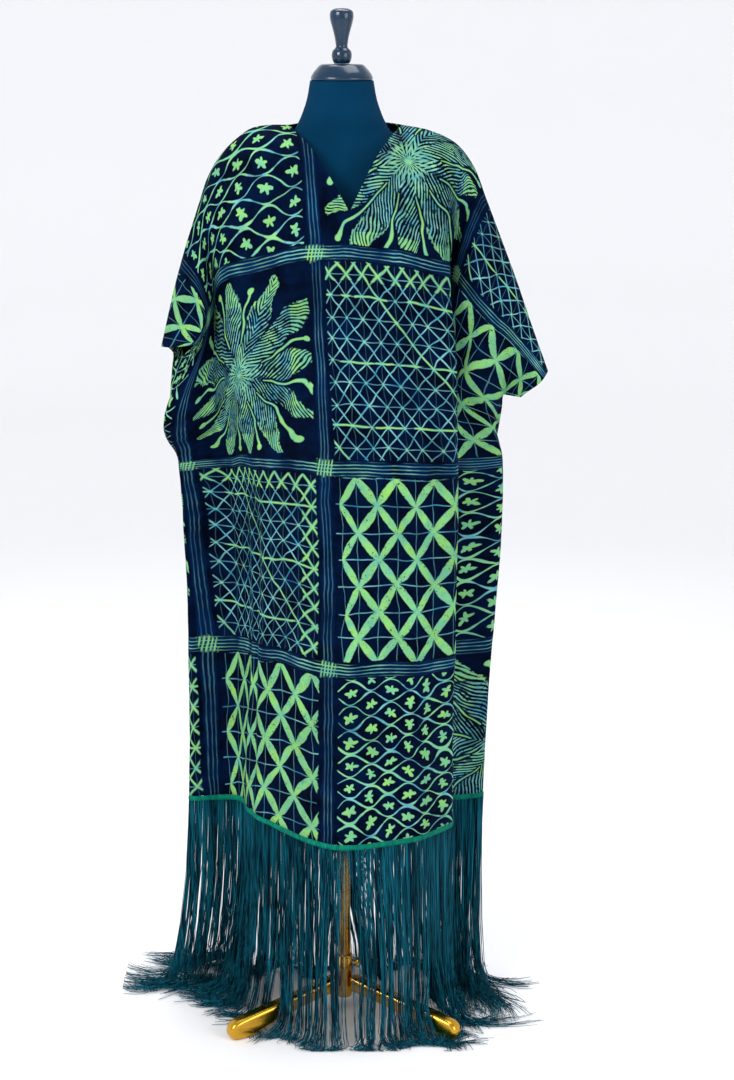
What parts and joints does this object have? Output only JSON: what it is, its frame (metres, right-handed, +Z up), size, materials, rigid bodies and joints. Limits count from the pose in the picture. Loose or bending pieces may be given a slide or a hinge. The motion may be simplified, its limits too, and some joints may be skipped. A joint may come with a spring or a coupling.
{
  "type": "kaftan on dress form",
  "caption": "Wide V-neck kaftan in batik-dyed cotton with cut-on sleeves and a long fringed hem, worn by a limbless dress form on a pole with a three-legged brass stand.",
  "frame": {"origin": "on the floor under the middle of the part's outline", "axes": "+Z up through the pole, the wearer's front looks along -Y, +X towards the right as one faces it"},
  "size_m": [0.7316, 0.381, 1.716],
  "materials": {
    "printed_cotton": "dip-dyed navy cotton with lime and teal batik lines, dull with a faint sheen",
    "fringe_yarn": "twisted dark teal yarn, slight lustre",
    "jersey": "stretched dark blue jersey, dull",
    "lacquer": "turned wood in black-blue gloss lacquer",
    "brass": "polished"
  },
  "bodies": {
    "root": {"kaftan_front": "printed_cotton", "kaftan_back": "printed_cotton", "fringe_front": "fringe_yarn", "fringe_back": "fringe_yarn", "form_torso": "jersey", "form_bottom_disc": "lacquer", "neck_cap": "lacquer", "finial": "lacquer", "pole": "brass", "hub_socket": "brass", "hub_screw": "brass", "leg_left": "brass", "leg_right": "brass", "leg_back": "brass"}
  },
  "joints": []
}
